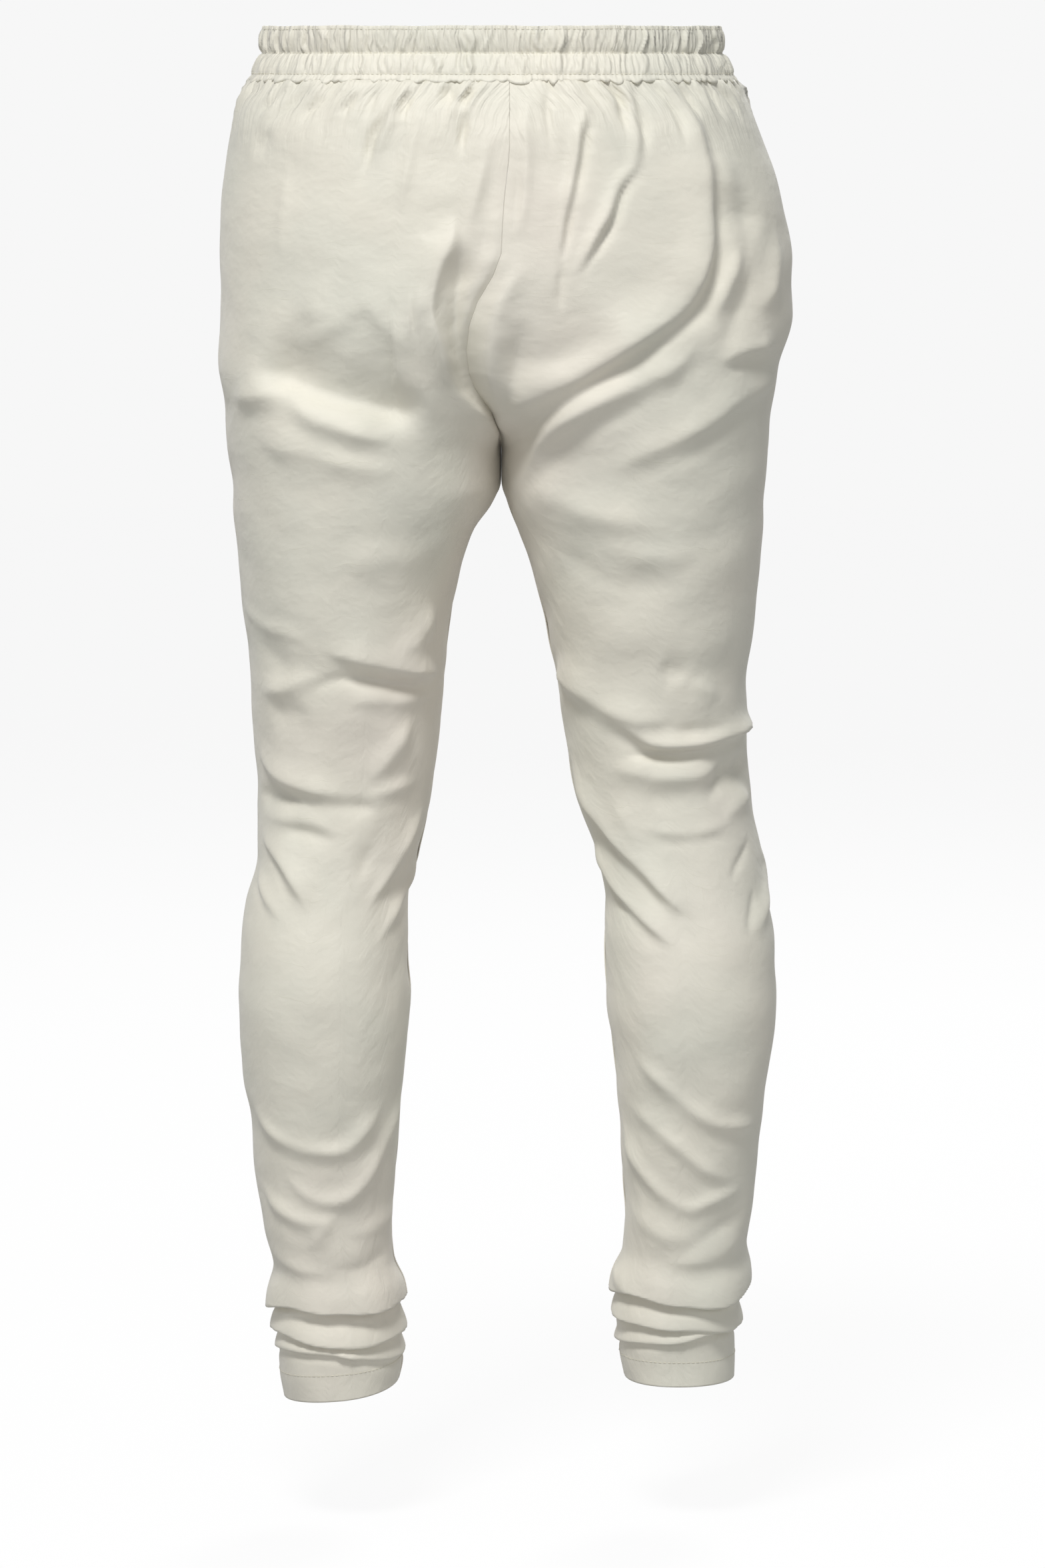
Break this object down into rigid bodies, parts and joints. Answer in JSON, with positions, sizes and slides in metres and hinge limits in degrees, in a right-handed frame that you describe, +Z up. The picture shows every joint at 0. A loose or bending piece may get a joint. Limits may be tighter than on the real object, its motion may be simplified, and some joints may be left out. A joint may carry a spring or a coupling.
{
  "type": "churidar pants",
  "caption": "Long cream cotton churidar pants in worn form, with a shirred elastic waistband, loose seat and narrow calves gathered in rings at the ankles.",
  "frame": {"origin": "the middle of the waistband ring, at the height of the stitch row between its two elastic channels, where a wearer's waist holds the garment", "axes": "+Z up along the body, the wearer faces -Y, the seat is on the +Y side, the wearer's left leg is on the +X side"},
  "size_m": [0.4024, 0.2574, 0.96],
  "materials": {
    "waistband_cloth": "cream plain-weave cotton, shirred over elastic, soft low sheen",
    "leg_cloth": "cream plain-weave cotton with a soft satin sheen and faint slubs"
  },
  "bodies": {
    "root": {"waistband": "waistband_cloth", "left_leg_back": "leg_cloth", "left_leg_front": "leg_cloth", "right_leg_back": "leg_cloth", "right_leg_front": "leg_cloth"}
  },
  "joints": []
}
